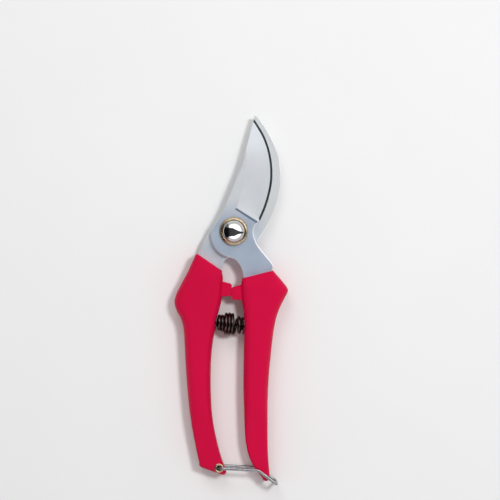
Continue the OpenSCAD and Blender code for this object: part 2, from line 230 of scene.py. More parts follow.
def smooth(piece: Thing, angle: float = 35, weighted: bool = True) -> None:
    """Shades a piece smooth up to an angle, with flat faces kept flat.

    Args:
        piece: The finished piece.
        angle: The largest fold, in degrees, that is shaded smooth.
        weighted: Whether large faces hold the normals at their edges.
    """
    take(piece)
    bpy.ops.object.shade_smooth_by_angle(angle=math.radians(angle))
    if weighted:
        apply_modifier(piece, "WEIGHTED_NORMAL", keep_sharp=True, weight=FACE_WEIGHT)


def ring_of(name: str, count: int, radius: float, height: float, filled: bool) -> Thing:
    """A circle primitive round the Z axis, which the other shapes start from.

    Args:
        name: The piece's name.
        count: How many points it has.
        radius: Its radius in millimetres.
        height: Its height in millimetres.
        filled: Whether it starts with a face.

    Returns:
        The new object.
    """
    deselect_all()
    bpy.ops.mesh.primitive_circle_add(
        vertices=count,
        radius=radius * MM,
        fill_type="NGON" if filled else "NOTHING",
        location=(0, 0, height * MM),
    )
    piece = bpy.context.object
    piece.name = piece.data.name = name
    bpy.ops.object.transform_apply(location=True, rotation=True, scale=True)
    return piece


def turned(name: str, profile: Sequence[Point], segments: int = 96, closed: bool = False) -> Thing:
    """Turns a profile round the Z axis, by extruding a circle and scaling it at each step.

    Args:
        name: The piece's name.
        profile: Radius and height in millimetres, from the first ring on. A last radius of 0 is
            the pole.
        segments: How many points each ring has.
        closed: Whether the profile comes back to its first ring, as on a washer.

    Returns:
        The turned piece.
    """
    radius, height = profile[0]
    piece = ring_of(name, segments, radius, height, filled=not closed)
    edit(piece)
    bpy.ops.mesh.select_all(action="SELECT")
    stops = [*profile[1:], profile[0]] if closed else profile[1:]
    for next_radius, next_height in stops:
        bpy.ops.mesh.extrude_region_move(
            TRANSFORM_OT_translate={"value": (0, 0, (next_height - height) * MM)}
        )
        share = next_radius / radius
        if share == 0:
            bpy.ops.mesh.merge(type="CENTER")
            break
        bpy.ops.transform.resize(value=(share, share, 1), center_override=(0, 0, next_height * MM))
        radius, height = next_radius, next_height
    face_outwards()
    leave()
    return piece


def plug(name: str, profile: Sequence[Point], segments: int = 96) -> Thing:
    """A turned solid with its last ring closed, to cut or to intersect with.

    Args:
        name: The piece's name.
        profile: Radius and height in millimetres, from the first ring on.
        segments: How many points each ring has.

    Returns:
        The solid.
    """
    piece = turned(name, profile, segments)
    close_ends(edit(piece))
    face_outwards()
    leave()
    return piece


def prism(name: str, outline: Sequence[Point], low: float, high: float) -> Thing:
    """Extrudes an outline in the XY plane.

    Args:
        name: The piece's name.
        outline: The corners in millimetres, in order.
        low: The height of the lower face in millimetres.
        high: The height of the upper face in millimetres.

    Returns:
        The solid.
    """
    piece = ring_of(name, len(outline), 1, low, filled=True)
    mesh = edit(piece)
    mesh.verts.ensure_lookup_table()
    for vertex, (x, y) in zip(mesh.verts, outline, strict=True):
        vertex.co = (x * MM, y * MM, low * MM)
    bpy.ops.mesh.select_all(action="SELECT")
    bpy.ops.mesh.extrude_region_move(TRANSFORM_OT_translate={"value": (0, 0, (high - low) * MM)})
    face_outwards()
    leave()
    return piece


def close_ends(mesh: EditMesh) -> None:
    """Fills every open loop of a tube with a face, in edit mode.

    Args:
        mesh: The mesh in edit mode.
    """
    while pick_edges(mesh, lambda edge: edge.is_boundary):
        first = next(edge for edge in mesh.edges if edge.is_boundary)
        bpy.ops.mesh.select_all(action="DESELECT")
        loop, vertex = [first], first.verts[1]
        while vertex is not first.verts[0]:
            step = next(e for e in vertex.link_edges if e.is_boundary and e is not loop[-1])
            loop.append(step)
            vertex = step.other_vert(vertex)
        for edge in loop:
            edge.select_set(True)
        bpy.ops.mesh.edge_face_add()


def levels(node: str) -> tuple[float, float]:
    """The lowest and the highest level of a CAD node, in millimetres."""
    low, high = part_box(node)
    return low.z / MM, high.z / MM


def spline_rows(rows: Sequence[Row], steps: int) -> list[Row]:
    """A smooth curve through rows of numbers.

    Args:
        rows: The rows that it passes through.
        steps: How many rows it gives for each one given.

    Returns:
        The rows along the curve.
    """
    last = len(rows) - 1
    found: list[Row] = []
    for i in range(last):
        a, b, c, d = rows[max(i - 1, 0)], rows[i], rows[i + 1], rows[min(i + 2, last)]
        for k in range(steps):
            t = k / steps
            # the four weights of a Catmull-Rom curve
            weights = (-t + 2 * t**2 - t**3, 2 - 5 * t**2 + 3 * t**3, t + 4 * t**2 - 3 * t**3, t**3 - t**2)
            found.append(tuple(
                sum(weight * value for weight, value in zip(weights, column, strict=True)) / 2
                for column in zip(a, b, c, d, strict=True)
            ))
    return [*found, tuple(rows[last])]


def lay_in_place(piece: Thing, place: Matrix) -> None:
    """Moves a piece and puts its place into its mesh.

    Args:
        piece: The piece, made at the origin.
        place: Where it goes.
    """
    piece.matrix_world = place
    take(piece)
    bpy.ops.object.transform_apply(location=True, rotation=True, scale=True)


def along(at: Vector, direction: Vector) -> Matrix:
    """The place of a piece with its origin at a point, in metres, and its Z axis along a direction."""
    return Matrix.Translation(at) @ direction.to_track_quat("Z", "Y").to_matrix().to_4x4()


def copy_of_cad(node: str, name: str) -> Thing:
    """A copy of a CAD node's mesh with its doubles merged and its flat faces made whole.

    Args:
        node: The CAD node.
        name: The new piece's name.

    Returns:
        The new piece, which rides on nothing yet.
    """
    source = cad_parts[node]
    mesh = source.data.copy()
    mesh.materials.clear()
    piece = bpy.data.objects.new(name, mesh)
    mesh.name = name
    bpy.context.scene.collection.objects.link(piece)
    edit(piece)
    bpy.ops.mesh.customdata_custom_splitnormals_clear()
    bpy.ops.mesh.select_all(action="SELECT")
    bpy.ops.mesh.remove_doubles(threshold=CAD_DOUBLES)
    bpy.ops.mesh.mark_sharp(clear=True)
    bpy.ops.mesh.dissolve_limited(angle_limit=math.radians(FLAT_WITHIN))
    leave()
    return piece


# --- Finishes ---


class Nodes:
    """The node tree of a material or a world while it is put together."""

    def __init__(self, owner: bpy.types.Material | bpy.types.World) -> None:
        """Starts with an empty tree.

        Args:
            owner: The material or the world.
        """
        owner.use_nodes = True
        self.tree = owner.node_tree
        self.tree.nodes.clear()

    def node(self, kind: str, **settings: object) -> bpy.types.Node:
        """Adds a node.

        Args:
            kind: The node's type.
            settings: The node's properties.

        Returns:
            The node.
        """
        made = self.tree.nodes.new(kind)
        for name, value in settings.items():
            setattr(made, name, value)
        return made

    def link(self, source: Socket, target: Socket) -> None:
        """Joins two sockets."""
        self.tree.links.new(source, target)

    def spread(
        self, factor: Socket, low: float, high: float, start: float = 0.3, end: float = 0.7
    ) -> Socket:
        """Maps a pattern to a range of values.

        Args:
            factor: The pattern.
            low: The value at the start.
            high: The value at the end.
            start: The pattern's level that gives the low value.
            end: The pattern's level that gives the high value.

        Returns:
            The value.
        """
        made = self.node("ShaderNodeMapRange")
        limits = {"From Min": start, "From Max": end, "To Min": low, "To Max": high}
        for name, value in limits.items():
            made.inputs[name].default_value = value
        self.link(factor, made.inputs["Value"])
        return made.outputs["Result"]


class Shader(Nodes):
    """A material while it is put together."""

    def __init__(self, name: str) -> None:
        """Starts with a Principled surface and its output.

        Args:
            name: The material's name.
        """
        self.material = bpy.data.materials.new(name)
        super().__init__(self.material)
        output = self.node("ShaderNodeOutputMaterial")
        self.surface = self.node("ShaderNodeBsdfPrincipled")
        self.link(self.surface.outputs["BSDF"], output.inputs["Surface"])
        self.place = self.node("ShaderNodeTexCoord").outputs["Object"]

    def constant(self, **values: object) -> None:
        """Sets sockets of the surface, named with _ for each space, that are the same all over."""
        for name, value in values.items():
            self.surface.inputs[name.replace("_", " ")].default_value = value

    def stretched(self, scale: Row, turn: float = 0.0) -> Socket:
        """Object coordinates turned about Z and then stretched.

        Args:
            scale: The factor along each axis, after the turn.
            turn: The turn in degrees.

        Returns:
            The vector.
        """
        mapped = self.node("ShaderNodeMapping", vector_type="TEXTURE")
        mapped.inputs["Rotation"].default_value = (0, 0, math.radians(turn))
        mapped.inputs["Scale"].default_value = scale
        self.link(self.place, mapped.inputs["Vector"])
        return mapped.outputs["Vector"]

    def noise(self, size: float, detail: float = 3.0, vector: Socket | None = None) -> Socket:
        """A noise pattern.

        Args:
            size: The size of its spots in millimetres.
            detail: How many finer layers it has.
            vector: Its coordinates, or None for the object's own.

        Returns:
            A number from 0 to 1.
        """
        made = self.node("ShaderNodeTexNoise")
        made.inputs["Scale"].default_value = 1 / (size * MM)
        made.inputs["Detail"].default_value = detail
        self.link(vector or self.place, made.inputs["Vector"])
        return made.outputs["Fac"]

    def blend(
        self,
        factor: Socket,
        first: Colour | Socket,
        second: Colour,
        start: float = 0.3,
        end: float = 0.7,
    ) -> Socket:
        """Mixes two colours by a pattern.

        Args:
            factor: The pattern.
            first: The colour at the pattern's start, plain or from another blend.
            second: The colour at its end.
            start: The pattern's level that gives the first colour.
            end: The pattern's level that gives the second colour.

        Returns:
            The colour.
        """
        made = self.node("ShaderNodeMix", data_type="RGBA")
        if isinstance(first, Socket):
            self.link(first, made.inputs["A"])
        else:
            made.inputs["A"].default_value = (*first, 1)
        made.inputs["B"].default_value = (*second, 1)
        self.link(self.spread(factor, 0, 1, start, end), made.inputs["Factor"])
        return made.outputs["Result"]

    def fade(self, colour: Socket, last: Colour, start: float, end: float) -> Socket:
        """Lets a colour run into another one along the shears, painting a change of light along them.

        Args:
            colour: The colour towards the grips.
            last: The colour towards the tips.
            start: Where the change begins, in millimetres above the pivot.
            end: Where it ends.

        Returns:
            The colour.
        """
        parts = self.node("ShaderNodeSeparateXYZ")
        self.link(self.place, parts.inputs["Vector"])
        return self.blend(parts.outputs["Y"], colour, last, start * MM, end * MM)

    def paint(self, colour: Socket, roughness: Socket) -> None:
        """Joins the colour and the roughness to the surface."""
        self.link(colour, self.surface.inputs["Base Color"])
        self.link(roughness, self.surface.inputs["Roughness"])

    def bump(
        self, height: Socket, depth: float, below: bpy.types.Node | None = None
    ) -> bpy.types.Node:
        """Adds relief to the surface.

        Args:
            height: The pattern.
            depth: Its height in millimetres.
            below: Another relief that it lies on.

        Returns:
            The bump node, for a further relief to lie on.
        """
        made = self.node("ShaderNodeBump")
        made.inputs["Distance"].default_value = depth * MM
        self.link(height, made.inputs["Height"])
        if below:
            self.link(below.outputs["Normal"], made.inputs["Normal"])
        self.link(made.outputs["Normal"], self.surface.inputs["Normal"])
        return made


@dataclass(frozen=True)
class BrushedMetal:
    """A metal with fine parallel lines, as grinding or brushing leaves."""

    name: str
    light: Colour
    dark: Colour
    smoothest: float
    roughest: float
    line_turn: float
    # the colour towards the tips, a painted change of light, and where the change to it begins and ends
    upper: Colour | None = None
    change: Point = (0.0, 0.0)
    line_size: float = 0.12
    line_length: float = 30.0
    line_depth: float = 0.0012
    patch_size: float = 9.0
    patch_roughness: float = 0.02
    grain_size: float = 0.35
    grain_share: float = 0.6
    metallic: float = 0.7

    def make(self) -> bpy.types.Material:
        """Puts the material together.

        Returns:
            The material.
        """
        shader = Shader(self.name)
        shader.constant(Metallic=self.metallic)
        lines = shader.noise(self.line_size, 2.0, shader.stretched((1, self.line_length, 1), self.line_turn))
        patches = shader.noise(self.patch_size, 4.0)
        colour = shader.blend(patches, self.dark, self.light)
        if self.upper:
            colour = shader.fade(colour, self.upper, *self.change)
        both = shader.node("ShaderNodeMath", operation="ADD")
        shader.link(shader.spread(lines, self.smoothest, self.roughest), both.inputs[0])
        shader.link(shader.spread(patches, -self.patch_roughness, self.patch_roughness), both.inputs[1])
        shader.paint(colour, both.outputs["Value"])
        relief = shader.bump(lines, self.line_depth)
        shader.bump(shader.noise(self.grain_size, 2.0), self.line_depth * self.grain_share, relief)
        return shader.material


@dataclass(frozen=True)
class CastMetal:
    """A plated or polished metal with faint clouds and a slightly uneven surface."""

    name: str
    light: Colour
    dark: Colour
    smoothest: float
    roughest: float
    cloud_size: float = 1.2
    pitting: float = 0.002

    def make(self) -> bpy.types.Material:
        """Puts the material together.

        Returns:
            The material.
        """
        shader = Shader(self.name)
        shader.constant(Metallic=1.0)
        clouds = shader.noise(self.cloud_size, 4.0)
        shader.paint(
            shader.blend(clouds, self.dark, self.light),
            shader.spread(clouds, self.roughest, self.smoothest),
        )
        shader.bump(shader.noise(self.cloud_size / 4, 2.0), self.pitting)
        return shader.material


@dataclass(frozen=True)
class MouldedPlastic:
    """A satin plastic with the fine grain of a spark-eroded mould and light rubbing."""

    name: str
    base: Colour
    deep: Colour
    smoothest: float = 0.4
    roughest: float = 0.54
    gloss: float = 0.15
    refraction: float = 1.49
    flow_size: float = 26.0
    flow_length: float = 3.0
    flow_depth: float = 0.05
    rub_size: float = 5.0
    grain_size: float = 0.28
    grain_depth: float = 0.012

    def make(self) -> bpy.types.Material:
        """Puts the material together.

        Returns:
            The material.
        """
        shader = Shader(self.name)
        shader.constant(IOR=self.refraction, Specular_IOR_Level=self.gloss)
        flow = shader.noise(self.flow_size, 3.0, shader.stretched((1, self.flow_length, 1)))
        rubbed = shader.noise(self.rub_size, 5.0)
        shader.paint(
            shader.blend(flow, self.deep, self.base),
            shader.spread(rubbed, self.smoothest, self.roughest),
        )
        grain = shader.bump(shader.noise(self.grain_size, 3.0), self.grain_depth)
        shader.bump(flow, self.flow_depth, grain)
        return shader.material


class Finishes:
    """Every finish on the shears, each made once."""

    def __init__(self) -> None:
        """Makes the materials."""
        # painted highlight: the blade's chrome turns near white towards the tips
        self.blade = BrushedMetal(
            "blade_chrome", (0.62, 0.72, 0.87), (0.55, 0.65, 0.81), 0.42, 0.5, -25,
            (0.93, 0.96, 1.0), (3.0, 17.0),
        ).make()
        # painted light: this copy of the plate chrome is lighter than the blade's, and turns whiter towards
        # the tips
        self.hook = BrushedMetal(
            "hook_chrome", (0.81, 0.89, 0.98), (0.74, 0.83, 0.93), 0.42, 0.5, -25,
            (0.95, 0.97, 1.0), (-9.0, 9.0),
        ).make()
        # painted shade: the ground face darkens towards the tips, to hold down its brighter reflection there
        self.ground = BrushedMetal(
            "ground_chrome", (0.94, 0.97, 1.0), (0.86, 0.90, 0.95), 0.42, 0.5, -72,
            (0.64, 0.67, 0.72), (8.0, 54.0),
        ).make()
        # partly painted highlight: the rounded edges are smoother than the faces, and painted near white
        self.rounded = BrushedMetal(
            "rounded_edge", (0.95, 0.96, 0.98), (0.88, 0.90, 0.93), 0.28, 0.36, -25
        ).make()
        # painted shade: the step at the foot of the ground face is painted dark blue grey
        self.step = BrushedMetal(
            "ground_step_painted_shade", (0.20, 0.27, 0.37), (0.15, 0.21, 0.30), 0.5, 0.58, -25
        ).make()
        # partly the darker steel of the honed edge, mostly painted shade: it is painted near black for its
        # dark reflection and the shadow beside it
        self.edge = BrushedMetal(
            "honed_edge_painted_dark", (0.038, 0.058, 0.060), (0.026, 0.040, 0.043), 0.34, 0.44, 20
        ).make()
        self.mirror = CastMetal(
            "bright_chrome", (0.95, 0.95, 0.95), (0.9, 0.9, 0.91), 0.03, 0.06, 3.0, 0.0003
        ).make()
        self.brass = CastMetal("brass", (0.68, 0.55, 0.38), (0.52, 0.40, 0.26), 0.2, 0.32).make()
        # painted shade: a dark brass for the cup beside the head and at its outer wall
        self.painted_shade_brass = CastMetal(
            "painted_shade_brass", (0.24, 0.18, 0.105), (0.13, 0.095, 0.055), 0.34, 0.5
        ).make()
        self.zinc = CastMetal("zinc_plate", (0.62, 0.63, 0.65), (0.48, 0.49, 0.52), 0.3, 0.46, 0.8).make()
        self.wire = CastMetal(
            "drawn_wire", (0.46, 0.46, 0.47), (0.34, 0.34, 0.36), 0.24, 0.36, 1.6, 0.0006
        ).make()
        self.spring = CastMetal(
            "blackened_steel", (0.13, 0.10, 0.09), (0.05, 0.036, 0.034), 0.24, 0.4, 0.9
        ).make()
        self.plastic = MouldedPlastic(
            "crimson_plastic", (0.635, 0.0018, 0.051), (0.555, 0.0014, 0.043)
        ).make()


@dataclass
class Piece:
    """What a finished mesh is called, rides on and stands for."""

    mesh: Thing
    body: Body
    slot: Slot
    stands_for: tuple[str, ...]

    def place(self, *finishes: bpy.types.Material) -> None:
        """Dresses the piece and hangs it on its body.

        Args:
            finishes: Its materials, in the order of its faces' material numbers, or none where it
                is dressed already.
        """
        for finish in finishes:
            self.mesh.data.materials.append(finish)
        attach(self.mesh, self.body.value)
        self.record()

    def record(self) -> None:
        """Hides the CAD nodes that it stands for, and reports the piece."""
        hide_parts(*self.stands_for)
        faces = len(self.mesh.data.polygons)
        LOG.info("%s: %d faces, for %s", self.mesh.name, faces, ", ".join(self.stands_for))


# --- The plates ---


class PlateFace(IntEnum):
    """The kinds of surface on a plate, as its faces' material numbers."""

    FLAT = 0
    GROUND = 1
    EDGE = 2
    ROUNDED = 3
    STEP = 4


@dataclass
class Plates:
    """The cutting blade and the hook, two stamped plates with softened edges."""

    finishes: Finishes
    shoulder_rounding: float = 0.5
    rounding: float = 0.35
    back_rounding: float = 0.3
    bore_clear: float = 4.0
    foot: tuple[Point, Point] = ((1.2, 11.6), (13.6, 3.8))
    edge_land: float = 1.1
    # lines just inside the mouths of the grips, and how far up there is room for the rounding
    hook_mouth: tuple[Point, Point] = ((-18.4, -11.9), (-5.5, -20.7))
    blade_mouth: tuple[Point, Point] = ((3.8, -24.1), (19.7, -20.1))
    shoulder_x: float = 8.0
    hook_end: float = 54.6
    spine_end: float = 38.4
    back_end: float = 4.0
    # the smallest upward parts of the normals of an edge face, a ground face and a level one, and the
    # largest of an upright one
    edge_rise: float = 0.5
    ground_rise: float = 0.93
    level_rise: float = 0.99995
    upright_rise: float = 0.05
    slack: float = 0.02
    # the smallest fold, in degrees, at which the outline is rounded
    outline_fold: float = 50

    def copy(self, node: str, name: str, flat: bpy.types.Material) -> Thing:
        """Copies a plate's mesh and gives it the finishes of all its kinds of surface.

        Args:
            node: The CAD node.
            name: The new piece's name.
            flat: The finish of its flat faces.

        Returns:
            The new piece.
        """
        plate = copy_of_cad(node, name)
        finishes = {
            PlateFace.FLAT: flat,
            PlateFace.GROUND: self.finishes.ground,
            PlateFace.EDGE: self.finishes.edge,
            PlateFace.ROUNDED: self.finishes.rounded,
            PlateFace.STEP: self.finishes.step,
        }
        for kind in PlateFace:
            plate.data.materials.append(finishes[kind])
        return plate

    def shows(self, middle: Vector, mouth: tuple[Point, Point]) -> bool:
        """Whether a point of the outline, in millimetres, is clear of the bore and above the grip's mouth."""
        left, right = (Vector(corner) for corner in mouth)
        return middle.length > self.bore_clear and (right - left).cross(middle - left) > 0

    def soften(self, piece: Thing, wanted: Callable[[Vector], bool], size: float, level: float) -> None:
        """Bevels the outline of one face of a plate.

        Args:
            piece: The plate.
            wanted: The test for an edge's middle, in millimetres.
            size: The bevel's width in millimetres.
            level: The face's height in millimetres.
        """
        mesh = edit(piece)
        mesh.normal_update()

        def on_outline(edge: Edge) -> bool:
            """Whether an edge is part of the outline that is bevelled.

            Args:
                edge: The edge.

            Returns:
                Whether it lies in the face, between plain surfaces, at a fold and where wanted.
            """
            middle = ((edge.verts[0].co + edge.verts[1].co) / 2 / MM).xy
            flat = all(abs(v.co.z / MM - level) < self.slack for v in edge.verts)
            plain = all(face.material_index == PlateFace.FLAT for face in edge.link_faces)
            return flat and plain and fold_angle(edge) > self.outline_fold and wanted(middle)

        if pick_edges(mesh, on_outline):
            bpy.ops.mesh.bevel(
                offset=size * MM, segments=3, profile=0.5, affect="EDGES", clamp_overlap=False,
                material=PlateFace.ROUNDED,
            )
        leave()

    def hook(self) -> None:
        """Makes the hook plate."""
        low, high = levels("hook_blade")
        plate = self.copy("hook_blade", "hook_plate", self.finishes.hook)

        def wanted(p: Vector) -> bool:
            """Whether the outline is rounded at a point of the hook."""
            return p.y < self.hook_end and self.shows(p, self.hook_mouth)

        self.soften(plate, wanted, self.rounding, high)
        self.soften(plate, wanted, self.back_rounding, low)
        smooth(plate, CRISP_FOLD)
        Piece(plate, Body.HOOK_SIDE, Slot.HARD_CHROME, ("hook_blade",)).place()

    def blade(self) -> None:
        """Makes the cutting blade, with its ground face and its honed edge."""
        low, high = levels("cutting_blade")
        plate = self.copy("cutting_blade", "cutting_blade_plate", self.finishes.blade)
        start, end = (Vector(p) for p in self.foot)
        across = (end - start).normalized()
        mesh = edit(plate)
        mesh.normal_update()
        land = low + self.edge_land
        for face in mesh.faces:
            rise, middle = face.normal.z, face.calc_center_median() / MM
            if self.edge_rise < rise < self.ground_rise and middle.z < land:
                face.material_index = PlateFace.EDGE
            elif self.ground_rise <= rise < self.level_rise and middle.z < high - self.slack / 2:
                face.material_index = PlateFace.GROUND
            beyond = (middle.xy - start).cross(across) > self.slack
            if self.upright_rise < rise < self.level_rise and beyond:
                face.material_index = PlateFace.STEP
        bmesh.update_edit_mesh(plate.data)
        leave()

        def wanted(p: Vector) -> bool:
            """Whether the outline is rounded at a point of the blade."""
            return p.y < self.spine_end and self.shows(p, self.blade_mouth)

        self.soften(plate, lambda p: p.x > self.shoulder_x and wanted(p), self.shoulder_rounding, high)
        self.soften(plate, lambda p: p.x < self.shoulder_x and wanted(p), self.rounding, high)
        self.soften(plate, lambda p: p.y < self.back_end and wanted(p), self.back_rounding, low)
        mesh = edit(plate)
        pick_edges(mesh, self.is_ground_line)
        bpy.ops.mesh.mark_sharp()
        leave()
        smooth(plate, CRISP_FOLD)
        Piece(plate, Body.BLADE_SIDE, Slot.HARD_CHROME, ("cutting_blade",)).place()

    @staticmethod
    def is_ground_line(edge: Edge) -> bool:
        """Whether a crisp line left by grinding runs along an edge."""
        kinds = {face.material_index for face in edge.link_faces}
        return len(kinds) == 2 and bool(kinds & {PlateFace.GROUND, PlateFace.EDGE, PlateFace.STEP})

    def build(self) -> None:
        """Makes both plates."""
        self.hook()
        self.blade()


# --- The pivot ---


@dataclass
class Pivot:
    """The domed bolt with its brass cup, washers and nut."""

    finishes: Finishes
    bolt_r: float = 3.0
    bore_r: float = 3.05
    bolt_chamfer: float = 0.6
    head_r: float = 5.3
    head_rim: float = 0.9
    head_edge: float = 0.15
    rim_edge: Point = (0.04, 0.12)
    dome_steps: int = 14
    cup_floor: float = 0.8
    # the cup's outside, as how far in from its widest and how far above its foot
    cup_side: Sequence[Point] = (
        (0.12, 0), (0, 0.12), (0, 0.32), (0.12, 0.7), (0.36, 1.06), (0.68, 1.33)
    )
    cup_crest: Point = (1.02, 0.02)
    # the cup's lip, as how far out from the head's hole and how far below its top
    cup_lip: Sequence[Point] = ((0.42, 0), (0.2, 0.09), (0.04, 0.26), (0, 0.45))
    head_gap: float = 0.1
    # how far out from the head's hole the painted shade reaches, in millimetres; at the outer wall it reaches
    # half as far in
    painted_shade_width: float = 0.3
    washer_chamfer: float = 0.18
    split_chamfer: float = 0.14
    split: float = 0.8
    split_steps: int = 90
    nut_across: float = 10.0
    nut_chamfer: float = 0.5
    # how far inside its flats the nut's faces end, and how far its cutters reach past it
    nut_face_inset: float = 0.2
    nut_slack: float = 0.3
    nut_overcut: float = 1.0
    nut_edge: float = 0.1
    nut_edge_fold: float = 40
    nut_fold: float = 30

    def bolt(self) -> None:
        """Makes the bolt with its mirror-bright dome."""
        low, high = levels("pivot_bolt")
        seat = levels("cup_washer")[0] + self.cup_floor
        rim = seat + self.head_rim
        rise = high - rim
        dome_r = (self.head_r**2 + rise**2) / (2 * rise)
        span = math.asin(self.head_r / dome_r)
        turns = [span * (1 - k / self.dome_steps) for k in range(1, self.dome_steps)]
        dome = [(dome_r * math.sin(a), high - dome_r + dome_r * math.cos(a)) for a in turns]
        inset, drop = self.rim_edge
        profile = [
            (self.bolt_r - self.bolt_chamfer, low), (self.bolt_r, low + self.bolt_chamfer),
            (self.bolt_r, seat), (self.head_r - self.head_edge, seat),
            (self.head_r, seat + self.head_edge), (self.head_r, rim - drop), (self.head_r - inset, rim),
            *dome, (0.0, high),
        ]
        bolt = turned("domed_bolt", profile, FINE_RING)
        smooth(bolt, CRISP_FOLD)
        Piece(bolt, Body.HOOK_SIDE, Slot.BRIGHT_CHROME, ("pivot_bolt",)).place(self.finishes.mirror)

    def cup(self) -> None:
        """Makes the dished brass washer that the head sits in."""
        low, high = levels("cup_washer")
        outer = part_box("cup_washer")[1].x / MM
        inner = self.head_r + self.head_gap
        inset, drop = self.cup_crest
        profile = [
            (self.bore_r, low), *((outer - inward, low + rise) for inward, rise in self.cup_side),
            (outer - inset, high - drop), *((inner + out, high - down) for out, down in self.cup_lip),
            (inner, low + self.cup_floor), (self.bore_r, low + self.cup_floor),
        ]
        cup = turned("brass_cup_washer", profile, FINE_RING, closed=True)
        # painted shade: faces beside the head and at the outer wall take the dark brass
        for face in cup.data.polygons:
            reach = face.center.xy.length / MM
            face.material_index = int(reach < inner + self.painted_shade_width or reach > outer - self.painted_shade_width / 2)
        smooth(cup, ROUND_FOLD)
        piece = Piece(cup, Body.HOOK_SIDE, Slot.BRASS, ("cup_washer",))
        piece.place(self.finishes.brass, self.finishes.painted_shade_brass)

    def washer_section(self, outer: float, node: str, chamfer: float) -> list[Point]:
        """The section of a washer, chamfered at its outer rim.

        Args:
            outer: Its outer radius in millimetres.
            node: The CAD node that gives its levels.
            chamfer: The chamfer's width in millimetres.

        Returns:
            Radius and height of each corner, in millimetres.
        """
        low, high = levels(node)
        return [
            (self.bore_r, low), (outer - chamfer, low), (outer, low + chamfer),
            (outer, high - chamfer), (outer - chamfer, high), (self.bore_r, high),
        ]

    def flat(self) -> None:
        """Makes the flat washer."""
        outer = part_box("flat_washer")[1].x / MM
        section = self.washer_section(outer, "flat_washer", self.washer_chamfer)
        washer = turned("plain_washer", section, closed=True)
        smooth(washer, ROUND_FOLD)
        Piece(washer, Body.HOOK_SIDE, Slot.ZINC, ("flat_washer",)).place(self.finishes.zinc)

    def lock(self) -> None:
        """Makes the split lock washer, by spinning its section round to the split."""
        outer = -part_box("lock_washer")[0].x / MM
        middle = (outer + self.bore_r) / 2
        half_gap = math.asin(self.split / 2 / middle)
        turn = Matrix.Rotation(half_gap, 3, "Z")
        section = self.washer_section(outer, "lock_washer", self.split_chamfer)
        washer = ring_of("split_washer", len(section), 1, 0, filled=False)
        mesh = edit(washer)
        mesh.verts.ensure_lookup_table()
        for vertex, (radius, height) in zip(mesh.verts, section, strict=True):
            vertex.co = turn @ Vector((radius, 0, height)) * MM
        bpy.ops.mesh.select_all(action="SELECT")
        bpy.ops.mesh.spin(
            steps=self.split_steps, angle=2 * (math.pi - half_gap), center=(0, 0, 0), axis=(0, 0, 1),
            use_auto_merge=False,
        )
        close_ends(mesh)
        face_outwards()
        leave()
        smooth(washer, ROUND_FOLD)
        Piece(washer, Body.HOOK_SIDE, Slot.ZINC, ("lock_washer",)).place(self.finishes.zinc)

    def nut(self) -> None:
        """Makes the hexagon nut, chamfered on both faces."""
        low, high = levels("pivot_nut")
        half_side = math.pi / 6
        flat_r, corner_r = self.nut_across / 2, self.nut_across / 2 / math.cos(half_side)
        nut = ring_of("hexagon_nut", 6, corner_r, low, filled=True)
        lay_in_place(nut, Matrix.Rotation(half_side if self.corners_on_y() else 0.0, 4, "Z"))
        edit(nut)
        bpy.ops.mesh.select_all(action="SELECT")
        bpy.ops.mesh.extrude_region_move(TRANSFORM_OT_translate={"value": (0, 0, (high - low) * MM)})
        face_outwards()
        leave()
        face_r, reach = flat_r - self.nut_face_inset, corner_r + self.nut_slack
        crown = plug("nut_crown", [
            (face_r, low), (reach, low + self.nut_chamfer), (reach, high - self.nut_chamfer), (face_r, high),
        ])
        join_solid(nut, crown, "INTERSECT")
        ends = (low - self.nut_overcut, high + self.nut_overcut)
        hole = plug("nut_hole", [(self.bore_r, end) for end in ends])
        join_solid(nut, hole, "DIFFERENCE")
        round_edges(nut, self.nut_edge, 2, self.nut_edge_fold)
        smooth(nut, self.nut_fold)
        Piece(nut, Body.HOOK_SIDE, Slot.ZINC, ("pivot_nut",)).place(self.finishes.zinc)

    def corners_on_y(self) -> bool:
        """Whether the nut's corners lie on the Y axis."""
        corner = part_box("pivot_nut")[1]
        return corner.y > corner.x

    def build(self) -> None:
        """Makes the whole stack."""
        self.bolt()
        self.cup()
        self.flat()
        self.lock()
        self.nut()


# --- The grips ---


@dataclass
class SpringSeats:
    """Where the return spring bears on the grips."""

    hook_at: Point = (-8.8, -45.0)
    blade_at: Point = (5.0, -46.8)
    middle: float = 7.0
    sink: float = 0.4

    def hook(self) -> Vector:
        """The centre of the hook side's seat, in metres."""
        return Vector((*self.hook_at, self.middle)) * MM

    def blade(self) -> Vector:
        """The centre of the blade side's seat, in metres."""
        return Vector((*self.blade_at, self.middle)) * MM

    def axis(self) -> Vector:
        """The direction from the hook side to the blade side."""
        return (self.blade() - self.hook()).normalized()


